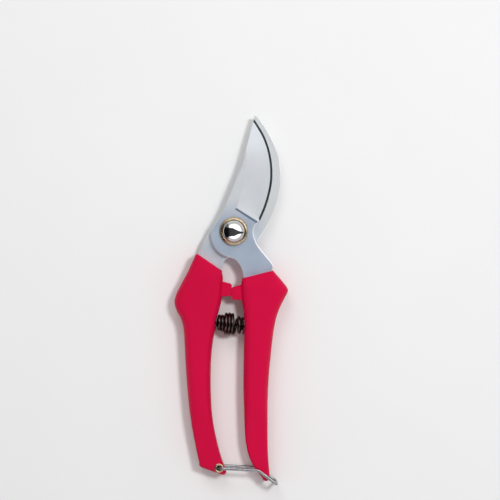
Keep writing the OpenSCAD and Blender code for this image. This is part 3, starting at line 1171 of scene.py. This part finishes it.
@dataclass
class Grip:
    """One moulded grip: a bar through its sections, with a stop lug and a spring pocket."""

    name: str
    node: str
    body: Body
    sections: Sequence[Row]
    lug: Sequence[Point]
    pocket_at: Vector
    pocket_axis: Vector
    eyelet_at: Point | None = None
    half_thickness: float = 7.0
    drop: float = 2.2
    edge_r: float = 4.5
    thin_edge_r: float = 1.6
    rim_r: float = 0.8
    end_round: float = 1.9
    rim_steps: int = 5
    corner_steps: int = 5
    steps: int = 3
    # how far the rounded end is drawn in, as a share of its rounding
    end_share: float = 0.97
    # what the edge radius leaves at least of the half thickness, in widths of the parting line, and
    # of the half width, in millimetres
    side_flat: float = 1.5
    end_flat: float = 0.05
    lug_height: float = 8.0
    lug_rounding: float = 0.5
    lug_fold: float = 30
    pocket_r: float = 4.5
    pocket_depth: float = 0.4
    hole_r: float = 1.5
    overcut: float = 1.0
    drill_ring: int = 64
    parting_width: float = 0.24
    parting_depth: float = 0.2

    def real(self, row: Row) -> Row:
        """A row with its drop and edge radius in millimetres, given as shares, after both its ends."""
        return (*row[:4], row[4] * self.drop, self.edge_r + row[5] * (self.thin_edge_r - self.edge_r))

    @staticmethod
    def drawn_in(row: Row, up: float, inset: float) -> Row:
        """A section moved up along the grip and drawn in all round.

        Args:
            row: The section.
            up: How far it moves.
            inset: How far it is drawn in.

        Returns:
            The new section.
        """
        left, right = Vector(row[:2]), Vector(row[2:4])
        across = (right - left).normalized()
        lift = Vector((-across.y, across.x)) * up
        left, right = left + lift + across * inset, right + lift - across * inset
        return (*left, *right, row[4] + inset, row[5])

    def stations(self) -> list[Row]:
        """All sections along the grip.

        Returns:
            The sections from the top rim to the rounded end.
        """
        given = [self.real(row) for row in self.sections]
        top, end = given[0], given[-1]
        quarter = [math.pi / 2 * k / self.rim_steps for k in range(self.rim_steps + 1)]
        rim = [
            self.drawn_in(top, -self.rim_r * (1 - math.cos(a)), self.rim_r * (1 - math.sin(a)))
            for a in quarter[:-1]
        ]
        rounded = [
            self.drawn_in(
                end, -self.end_round * math.sin(a), self.end_round * (1 - math.cos(a)) * self.end_share
            )
            for a in quarter[1:]
        ]
        bar = spline_rows([self.drawn_in(top, -self.rim_r, 0), *given[1:]], self.steps)
        return [*rim, *bar, *rounded]

    def loop(self, row: Row) -> list[Vector]:
        """The points of one section: a rounded bar with a fine parting line down both sides.

        Args:
            row: The section.

        Returns:
            The points in metres, once round.
        """
        left, right = Vector(row[:2]), Vector(row[2:4])
        middle, across = (left + right) / 2, (right - left).normalized()
        half, thick = (right - left).length / 2, self.half_thickness - row[4]
        radius = min(row[5], thick - self.parting_width * self.side_flat, half - self.end_flat)
        points: list[Point] = []
        for side in (1, -1):
            points += [
                (side * half, -side * self.parting_width),
                (side * (half - self.parting_depth), 0.0),
                (side * half, side * self.parting_width),
            ]
            for quarter in (0, 1):
                for k in range(self.corner_steps + 1):
                    angle = math.pi / 2 * (quarter + k / self.corner_steps)
                    reach = (half - radius) * (1 if quarter == 0 else -1) + radius * math.cos(angle)
                    points.append((side * reach, side * (thick - radius + radius * math.sin(angle))))
        placed = []
        for reach, height in points:
            spot = middle + across * reach
            placed.append(Vector((spot.x, spot.y, self.half_thickness + height)) * MM)
        return placed

    def bar(self) -> Thing:
        """Extrudes the first section through all the others and rounds the skin off.

        Returns:
            The bar.
        """
        loops = [self.loop(row) for row in self.stations()]
        piece = ring_of(self.name, len(loops[0]), 5, 0, filled=False)
        mesh = edit(piece)
        number = mesh.verts.layers.int.new("point")
        mesh.verts.ensure_lookup_table()
        for index, vertex in enumerate(mesh.verts):
            vertex[number] = index
            vertex.co = loops[0][index]
        bpy.ops.mesh.select_all(action="SELECT")
        centres = [sum(loop, Vector()) / len(loop) for loop in loops]
        for before, centre, loop in zip(centres, centres[1:], loops[1:], strict=False):
            bpy.ops.mesh.extrude_region_move(TRANSFORM_OT_translate={"value": centre - before})
            for vertex in mesh.verts:
                if vertex.select:
                    vertex.co = loop[vertex[number]]
        close_ends(mesh)
        face_outwards()
        mesh.verts.layers.int.remove(number)
        leave()
        apply_modifier(piece, "SUBSURF", levels=1, render_levels=1)
        return piece

    def build(self, finish: bpy.types.Material) -> None:
        """Makes the grip and dresses it.

        Args:
            finish: The plastic.
        """
        piece = self.bar()
        middle, reach = self.half_thickness, self.lug_height / 2
        lug = prism(self.name + "_lug", self.lug, middle - reach, middle + reach)
        round_edges(lug, self.lug_rounding, 3, self.lug_fold)
        join_solid(piece, lug, "UNION")
        pocket = self.drill(self.pocket_r, -self.pocket_depth, self.edge_r)
        lay_in_place(pocket, along(self.pocket_at, self.pocket_axis))
        join_solid(piece, pocket, "DIFFERENCE")
        if self.eyelet_at:
            hole = self.drill(self.hole_r, -self.overcut, 2 * self.half_thickness + self.overcut)
            lay_in_place(hole, Matrix.Translation(Vector((*self.eyelet_at, 0)) * MM))
            join_solid(piece, hole, "DIFFERENCE")
        smooth(piece, 35, weighted=False)
        Piece(piece, self.body, Slot.PLASTIC, (self.node,)).place(finish)

    def drill(self, radius: float, low: float, high: float) -> Thing:
        """A round cutter on the Z axis, with its radius and both its ends in millimetres."""
        return plug(self.name + "_drill", [(radius, low), (radius, high)], self.drill_ring)


@dataclass
class Grips:
    """Both grips."""

    finishes: Finishes
    seats: SpringSeats
    eyelet_at: Point = (-7.3, -116.7)

    def build(self) -> None:
        """Makes both grips."""
        Grip(
            name="hook_side_grip", node="hook_grip", body=Body.HOOK_SIDE,
            sections=(
                (-18.4, -10.8, -5.5, -19.6, 0.3, 0.7), (-20.8, -15.6, -5.4, -22.8, 0.1, 0.4),
                (-23.4, -21.2, -5.5, -26.2, 0, 0.1), (-26.2, -26.2, -5.7, -30, 0, 0),
                (-28.6, -31.2, -6.1, -34, 0, 0), (-29.4, -35.2, -7, -38, 0, 0),
                (-28.3, -39.2, -8, -41.6, 0, 0), (-26.2, -43, -8.8, -45, 0, 0),
                (-25, -47.2, -9.4, -49.2, 0, 0), (-24.5, -53, -10.4, -54.6, 0, 0),
                (-24.1, -61, -11.2, -62, 0, 0), (-23.6, -70, -11.5, -71, 0, 0),
                (-22.9, -79, -11.4, -79.5, 0, 0), (-22, -87.6, -11, -88.4, 0.15, 0.2),
                (-20.8, -96, -10, -96.6, 0.8, 0.8), (-19.4, -103.4, -8.4, -104.2, 1, 1),
                (-18, -110.2, -6.3, -112, 1, 1), (-17.1, -114.2, -3.6, -119, 1, 1),
            ),
            lug=((-8, -24.4), (-5, -25), (-1.8, -25.8), (-1.05, -26.5), (-1.05, -31.5), (-1.6, -32),
                 (-5, -32.1), (-8, -32.6)),
            pocket_at=self.seats.hook(), pocket_axis=self.seats.axis(), eyelet_at=self.eyelet_at,
        ).build(self.finishes.plastic)
        Grip(
            name="blade_side_grip", node="blade_grip", body=Body.BLADE_SIDE,
            sections=(
                (3.8, -23.2, 19.7, -19.2, 0.3, 0.7), (3.6, -26, 23.3, -23.8, 0.1, 0.4),
                (3.5, -28.6, 26.4, -27.8, 0, 0.1), (3.5, -31, 26.7, -30, 0, 0),
                (3.8, -34.6, 24.6, -34, 0, 0), (4.5, -38.4, 22.4, -38.6, 0, 0),
                (4.9, -42.6, 20.9, -43.2, 0, 0), (5, -46.8, 19.9, -48, 0, 0),
                (5, -52, 19.1, -53.6, 0, 0), (4.8, -61, 18.2, -62, 0, 0),
                (4.7, -70, 17.4, -70.4, 0, 0), (4.7, -79, 16.9, -79.4, 0, 0),
                (5, -88, 16.7, -88, 0.15, 0.2), (5.3, -96.4, 16.7, -96.4, 0.8, 0.8),
                (5.8, -103.4, 16.7, -103.6, 1, 1), (7.2, -110.4, 16.9, -110.6, 1, 1),
                (10.4, -117.2, 17.4, -117, 1, 1), (14, -121.6, 17.8, -121.2, 1, 1),
            ),
            lug=((6, -34.8), (3.4, -33.8), (-0.5, -33.7), (-0.95, -33.2), (-0.95, -28), (-0.4, -27.4),
                 (3, -26.6), (6, -26)),
            pocket_at=self.seats.blade(), pocket_axis=-self.seats.axis(),
        ).build(self.finishes.plastic)


# --- The return spring ---


@dataclass
class ReturnSpring:
    """The barrel spring between the grips, nearly coil-bound with the jaws closed, and its seats."""

    finishes: Finishes
    seats: SpringSeats
    wire_d: float = 1.6
    clearance: float = 0.4
    turn_steps: int = 32
    wire_sides: int = 16
    # turns so far, distance along the axis as a share of the travel, outer diameter
    stations: Sequence[Row] = (
        (0, 0, 8.3), (0.75, 0.1, 8.4), (1.4, 0.2, 8.7), (1.9, 0.275, 10.8), (2.6, 0.372, 11.4),
        (3.5, 0.5, 11.4), (4.3, 0.612, 11.1), (4.7, 0.74, 9.8), (5.1, 0.868, 9), (5.5, 0.93, 8.6),
        (6, 1, 8.4),
    )
    steps_between: int = 12
    flange_r: float = 4.3
    flange_t: float = 0.7
    flange_foot: float = 0.12
    flange_rim: float = 0.15
    shank_r: float = 1.5
    shank_len: float = 2.6
    nose_r: float = 2.3
    nose_len: float = 1.0
    nose_foot: float = 0.1
    # the share of its radius that the nose has left, and how far up
    nose_taper: Point = (0.88, 0.45)
    seat_ring: int = 64

    def section(self, rows: Sequence[Row], turns: float) -> Point:
        """Where the middle of the wire is after some turns.

        Args:
            rows: The stations along the spring.
            turns: How many turns.

        Returns:
            The distance along the axis and the coil's radius, in millimetres.
        """
        free = (self.seats.blade() - self.seats.hook()).length / MM - 2 * self.clearance
        travel, wire_r = free - self.wire_d, self.wire_d / 2
        for first, second in zip(rows, rows[1:], strict=False):
            if turns <= second[0]:
                share = (turns - first[0]) / (second[0] - first[0])
                reach = first[1] + (second[1] - first[1]) * share
                outer = first[2] + (second[2] - first[2]) * share
                return wire_r + reach * travel, outer / 2 - wire_r
        return wire_r + travel, rows[-1][2] / 2 - wire_r

    def coil(self) -> Thing:
        """Sweeps the wire round the axis, step by step, and lays it between its seats.

        Returns:
            The coil.
        """
        wire_r = self.wire_d / 2
        rows = spline_rows(self.stations, self.steps_between)
        total = int(self.stations[-1][0] * self.turn_steps)
        piece = ring_of("barrel_spring", self.wire_sides, wire_r, 0, filled=False)
        height, radius = self.section(rows, 0)
        start = Matrix.Translation(Vector((radius, 0, height)) * MM)
        lay_in_place(piece, start @ Matrix.Rotation(math.pi / 2, 4, "X"))
        mesh = edit(piece)
        ring = mesh.verts.layers.int.new("ring")
        bpy.ops.mesh.select_all(action="SELECT")
        step = Matrix.Rotation(2 * math.pi / self.turn_steps, 4, "Z")
        for k in range(1, total + 1):
            angle = 2 * math.pi * k / self.turn_steps
            next_height, next_radius = self.section(rows, k / self.turn_steps)
            outward = Vector((math.cos(angle), math.sin(angle), 0)) * (next_radius - radius)
            bpy.ops.mesh.extrude_region_move()
            chosen = [vertex for vertex in mesh.verts if vertex.select]
            for vertex in chosen:
                vertex[ring] = k
            bmesh.ops.transform(mesh, matrix=step, verts=chosen)
            shift = (outward + Vector((0, 0, next_height - height))) * MM
            bpy.ops.transform.translate(value=shift)
            height, radius = next_height, next_radius
        close_ends(mesh)
        face_outwards()
        leave()
        foot = self.seats.hook() + self.seats.axis() * self.clearance * MM
        lay_in_place(piece, along(foot, self.seats.axis()))
        smooth(piece, ROUND_FOLD, weighted=False)
        return piece

    def stretch(self, coil: Thing) -> None:
        """Lets the coil lengthen between the grips, with each ring of its wire moved as a whole.

        Args:
            coil: The spring, whose points carry the number of their ring.
        """
        hook, blade = Body.HOOK_SIDE.value, Body.BLADE_SIDE.value
        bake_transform(coil, hook, blade, start=self.seats.hook(), end=self.seats.blade())
        layers = coil.data.attributes
        rings: dict[int, list[bpy.types.FloatAttributeValue]] = {}
        for number, share in zip(layers["ring"].data, layers["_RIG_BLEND"].data, strict=True):
            rings.setdefault(number.value, []).append(share)
        for shares in rings.values():
            level = sum(share.value for share in shares) / len(shares)
            for share in shares:
                share.value = level
        layers.remove(layers["ring"])

    def seat(self, name: str, node: str, body: Body, at: Vector, axis: Vector) -> None:
        """Turns one stud with its flange and nose.

        Args:
            name: The piece's name.
            node: The CAD node that it stands for.
            body: The body that it rides on.
            at: The middle of the pocket.
            axis: The direction into the spring.
        """
        under = -self.seats.sink
        top = under + self.flange_t
        nose = top + self.nose_len
        tip = nose + self.nose_r / 2
        share, rise = self.nose_taper
        foot, rim = self.flange_foot, self.flange_rim
        profile = [
            (self.shank_r, -self.shank_len), (self.shank_r, under), (self.flange_r - foot, under),
            (self.flange_r, under + foot), (self.flange_r, top - rim), (self.flange_r - rim, top),
            (self.nose_r + self.nose_foot, top), (self.nose_r, top + self.nose_foot), (self.nose_r, nose),
            (self.nose_r * share, nose + rise), (self.nose_r / 2, tip), (0.0, tip),
        ]
        piece = turned(name, profile, self.seat_ring)
        lay_in_place(piece, along(at, axis))
        smooth(piece, ROUND_FOLD)
        Piece(piece, body, Slot.SPRING, (node,)).place(self.finishes.spring)

    def build(self) -> None:
        """Makes the spring and both seats."""
        coil = self.coil()
        coil.data.materials.append(self.finishes.spring)
        self.stretch(coil)
        Piece(coil, Body.HOOK_SIDE, Slot.SPRING, ("return_spring",)).record()
        hook, blade, axis = self.seats.hook(), self.seats.blade(), self.seats.axis()
        self.seat("hook_side_spring_seat", "hook_spring_seat", Body.HOOK_SIDE, hook, axis)
        self.seat("blade_side_spring_seat", "blade_spring_seat", Body.BLADE_SIDE, blade, -axis)


# --- The latch ---


@dataclass
class Latch:
    """The brass eyelet in the grip's end and the wire loop that hangs in it."""

    finishes: Finishes
    at: Point
    wire_r: float = 0.75
    low_face: float = 2.2
    high_face: float = 11.8
    # the eyelet's lip from the bore to the barrel, as its radius and its rise over the grip's face
    lip: Sequence[Point] = (
        (1.25, -0.9), (1.31, -0.3), (1.45, 0.23), (1.67, 0.33), (1.85, 0.35), (2.13, 0.27),
        (2.25, 0.13), (2.22, 0), (1.5, 0),
    )
    leg_lift: float = 1.3
    pin_shift: float = 0.45
    pin_depth: float = 3.6
    bend_r: float = 1.75
    knee_bend_r: float = 3.5
    knee_reach: float = 19.5
    loop_reach: float = 29.4
    leg_angle: float = -3.0
    loop_angle: float = -15.4
    wire_sides: int = 20
    eyelet_ring: int = 64
    end_rounding: float = 0.2
    end_fold: float = 60

    def eyelet(self) -> None:
        """Turns the eyelet, flared over both faces of the grip."""
        profile = [(radius, self.high_face + rise) for radius, rise in self.lip]
        profile += [(radius, self.low_face - rise) for radius, rise in reversed(self.lip)]
        piece = turned("brass_eyelet", profile, self.eyelet_ring, closed=True)
        lay_in_place(piece, Matrix.Translation(Vector((*self.at, 0)) * MM))
        smooth(piece, ROUND_FOLD)
        Piece(piece, Body.HOOK_SIDE, Slot.BRASS, ("latch_eyelet",)).place(self.finishes.brass)

    def run(self, heading: Vector, length: float) -> None:
        """Extrudes the open end of the wire straight on, by a length in millimetres."""
        bpy.ops.mesh.extrude_region_move(TRANSFORM_OT_translate={"value": heading * length * MM})

    def bend(self, at: Vector, heading: Vector, onward: Vector, radius: float, steps: int = 12) -> Vector:
        """Spins the open end of the wire round a bend.

        Args:
            at: Where the wire's middle is, in millimetres.
            heading: The direction that it comes in.
            onward: The direction that it leaves in.
            radius: The bend's radius in millimetres.
            steps: How many sections the bend has.

        Returns:
            Where the wire's middle is after the bend.
        """
        axis = heading.cross(onward).normalized()
        centre = at + axis.cross(heading) * radius
        angle = heading.angle(onward)
        bpy.ops.mesh.spin(steps=steps, angle=-angle, center=centre * MM, axis=axis, use_auto_merge=False)
        return centre + Matrix.Rotation(angle, 3, axis) @ (at - centre)

    def wire(self) -> None:
        """Bends the wire: pin, leg, knee, closed end, and back to the pin across the bore from the first."""
        first, far = (
            Vector((math.cos(math.radians(turn)), math.sin(math.radians(turn)), 0))
            for turn in (self.leg_angle, self.loop_angle)
        )
        eye = Vector((*self.at, 0))
        knee = eye + first * self.knee_reach
        end = eye + far * self.loop_reach
        second = (end - knee).normalized()
        up, down = Vector((0, 0, 1)), Vector((0, 0, -1))
        top, bottom = self.high_face + self.leg_lift, self.low_face - self.leg_lift
        knee_cut = self.knee_bend_r * math.tan(first.angle(second) / 2)
        at = eye + first * self.pin_shift + up * (self.high_face - self.pin_depth)
        across = eye - first * self.pin_shift
        piece = ring_of("latch_loop", self.wire_sides, self.wire_r, 0, filled=False)
        lay_in_place(piece, Matrix.Translation(at * MM))
        mesh = edit(piece)
        bpy.ops.mesh.select_all(action="SELECT")
        for heading, onward, corner, radius in (
            (up, first, Vector((at.x, at.y, top)), self.bend_r),
            (first, second, Vector((knee.x, knee.y, top)), self.knee_bend_r),
            (second, down, Vector((end.x, end.y, top)), self.bend_r),
            (down, -second, Vector((end.x, end.y, bottom)), self.bend_r),
            (-second, -first, Vector((knee.x, knee.y, bottom)), self.knee_bend_r),
            (-first, up, Vector((across.x, across.y, bottom)), self.bend_r),
        ):
            cut = knee_cut if radius == self.knee_bend_r else radius
            length = (corner - at).dot(heading) - cut
            self.run(heading, length)
            at = self.bend(at + heading * length, heading, onward, radius)
        self.run(up, self.low_face + self.pin_depth - at.z)
        close_ends(mesh)
        face_outwards()
        leave()
        round_edges(piece, self.end_rounding, 2, self.end_fold)
        smooth(piece, ROUND_FOLD, weighted=False)
        Piece(piece, Body.LATCH, Slot.WIRE, ("latch_wire",)).place(self.finishes.wire)

    def build(self) -> None:
        """Makes the eyelet and the wire."""
        self.eyelet()
        self.wire()


# --- The studio ---


@dataclass(frozen=True)
class Lamp:
    """A square soft lamp that hangs off to one side, points at the shears and isn't mirrored in them."""

    name: str
    heading: Row
    distance: float
    size: float
    power: float

    def hang(self, target: Vector) -> None:
        """Hangs the lamp.

        Args:
            target: The point that it lights.
        """
        data = bpy.data.lights.new(self.name, "AREA")
        data.shape, data.size, data.energy = "SQUARE", self.size, self.power
        lamp = bpy.data.objects.new(self.name, data)
        bpy.context.scene.collection.objects.link(lamp)
        lamp.location = target + Vector(self.heading).normalized() * self.distance
        lamp.rotation_mode = "QUATERNION"
        lamp.rotation_quaternion = (target - lamp.location).to_track_quat("-Z", "Y")
        lamp.visible_glossy = False


@dataclass
class Sky:
    """An even sky. Polished metal sees it with a dark gap overhead that widens to the left."""

    level: float = 0.6
    backdrop: float = 0.92
    # how bright gloss sees it high up and at the horizon, and between which heights that changes
    bright: float = 3.3
    horizon: float = 0.62
    rise: Point = (0.4, 0.8)
    lean: float = 1.4
    dark: float = 0.02
    left_dark: float = 0.25
    # where the gap starts, how fast it narrows to the right, and from where on
    upper_edge: Row = (0.47, 0.5, -0.1)
    lower_edge: Row = (-0.64, 0.5, 0.1)
    left_end: float = -0.58
    softness: float = 0.08

    def __post_init__(self) -> None:
        """Starts the world."""
        world = bpy.data.worlds.new("studio")
        bpy.context.scene.world = world
        self.nodes = Nodes(world)

    def sum(self, operation: str, *terms: Socket | float) -> Socket:
        """One calculation.

        Args:
            operation: What the node does.
            terms: Its sockets or numbers.

        Returns:
            The result.
        """
        made = self.nodes.node("ShaderNodeMath", operation=operation)
        for socket, term in zip(made.inputs, terms, strict=False):
            if isinstance(term, (int, float)):
                socket.default_value = term
            else:
                self.nodes.link(term, socket)
        return made.outputs["Value"]

    def ramp(self, value: Socket, low: float) -> Socket:
        """The light at a distance from the gap's edge, over 0 where it is bright, from the gap's light on."""
        return self.nodes.spread(value, low, 1.0, -self.softness / 2, self.softness / 2)

    def edge(self, x: Socket, shape: Row, way: int) -> Socket:
        """The height of one edge of the gap.

        Args:
            x: How far right a ray points.
            shape: The edge's start, its slope and where the slope begins.
            way: 1 where it climbs to the right, -1 where it falls.

        Returns:
            The height.
        """
        start, slope, begin = shape
        reach = self.sum("MAXIMUM", self.sum("SUBTRACT", x, begin), 0.0)
        return self.sum("ADD", self.sum("MULTIPLY", reach, way * slope), start)

    def build(self) -> None:
        """Joins the sky for plain light, for gloss and for the camera."""
        heading = self.nodes.node("ShaderNodeTexCoord").outputs["Generated"]
        parts = self.nodes.node("ShaderNodeSeparateXYZ")
        self.nodes.link(heading, parts.inputs["Vector"])
        x, y, z = (parts.outputs[name] for name in "XYZ")
        above = self.sum("SUBTRACT", y, self.edge(x, self.upper_edge, -1))
        below = self.sum("SUBTRACT", self.edge(x, self.lower_edge, 1), y)
        gap = self.ramp(self.sum("MAXIMUM", above, below), self.dark)
        left = self.ramp(self.sum("SUBTRACT", x, self.left_end), self.left_dark)
        path = self.nodes.node("ShaderNodeLightPath")
        glossy, camera = path.outputs["Is Glossy Ray"], path.outputs["Is Camera Ray"]
        low, high = self.rise
        height = self.sum("DIVIDE", self.sum("SUBTRACT", z, low), high - low)
        height = self.sum("MINIMUM", self.sum("MAXIMUM", height, 0.0), 1.0)
        leaning = self.sum("ADD", self.sum("MULTIPLY", x, self.lean), self.bright - self.horizon)
        shine = self.sum("ADD", self.sum("MULTIPLY", height, leaning), self.horizon)
        mirrored = self.sum("MULTIPLY", self.sum("MULTIPLY", gap, left), shine)
        plain = self.sum("MULTIPLY", self.sum("SUBTRACT", 1.0, glossy), self.level)
        strength = self.sum("ADD", plain, self.sum("MULTIPLY", glossy, mirrored))
        strength = self.sum("ADD", strength, self.sum("MULTIPLY", camera, self.backdrop - self.level))
        background = self.nodes.node("ShaderNodeBackground")
        output = self.nodes.node("ShaderNodeOutputWorld")
        self.nodes.link(strength, background.inputs["Strength"])
        self.nodes.link(background.outputs["Background"], output.inputs["Surface"])


@dataclass
class Studio:
    """The pale floor, the plain soft light and the camera over the shears."""

    aim: Point = (8.0, -9.2)
    object_height: float = 7.0
    view_width: float = 247.75
    distance: float = 850.0
    sensor: float = 36.0
    floor_size: float = 12.0
    floor_level: float = -0.0002
    floor_colour: Colour = (0.87, 0.87, 0.87)
    floor_shade: float = 0.985
    floor_roughness: Point = (0.8, 0.9)
    # the point that the lamps light, in metres
    lit: Row = (0.0, -0.02, 0.01)
    lamps: Sequence[Lamp] = (
        Lamp("key", (0.34, 0.2, 0.92), 1.0, 0.16, 4.4),
        Lamp("fill", (-0.2, 0.75, 0.85), 1.1, 0.5, 2.2),
    )

    def floor(self) -> None:
        """Lays the floor, which isn't part of the object."""
        deselect_all()
        bpy.ops.mesh.primitive_plane_add(size=self.floor_size, location=(0, 0, self.floor_level))
        floor = bpy.context.object
        floor.name = "studio_floor"
        shader = Shader("floor_paper")
        shader.constant(Specular_IOR_Level=0.1)
        pale = self.floor_colour
        shade = tuple(level * self.floor_shade for level in pale)
        colour = shader.blend(shader.noise(60.0), shade, pale)
        shader.paint(colour, shader.spread(shader.noise(2.0), *self.floor_roughness))
        floor.data.materials.append(shader.material)

    def camera(self) -> None:
        """Sets the camera straight above the shears."""
        data = bpy.data.cameras.new("camera")
        data.sensor_width = self.sensor
        data.lens = self.sensor * self.distance / self.view_width
        camera = bpy.data.objects.new("camera", data)
        bpy.context.scene.collection.objects.link(camera)
        camera.location = Vector((*self.aim, self.object_height + self.distance)) * MM
        bpy.context.scene.camera = camera

    def build(self) -> None:
        """Sets up the studio."""
        self.floor()
        for lamp in self.lamps:
            lamp.hang(Vector(self.lit))
        Sky().build()
        self.camera()
        bpy.context.scene.view_settings.view_transform = "Standard"


def main() -> None:
    """Builds the shears and the studio in order."""
    logging.basicConfig(level=logging.INFO, format="%(name)s: %(message)s")
    finishes = Finishes()
    seats = SpringSeats()
    Plates(finishes).build()
    Pivot(finishes).build()
    grips = Grips(finishes, seats)
    grips.build()
    ReturnSpring(finishes, seats).build()
    Latch(finishes, grips.eyelet_at).build()
    Studio().build()
    deselect_all()


if __name__ == "__main__":
    main()
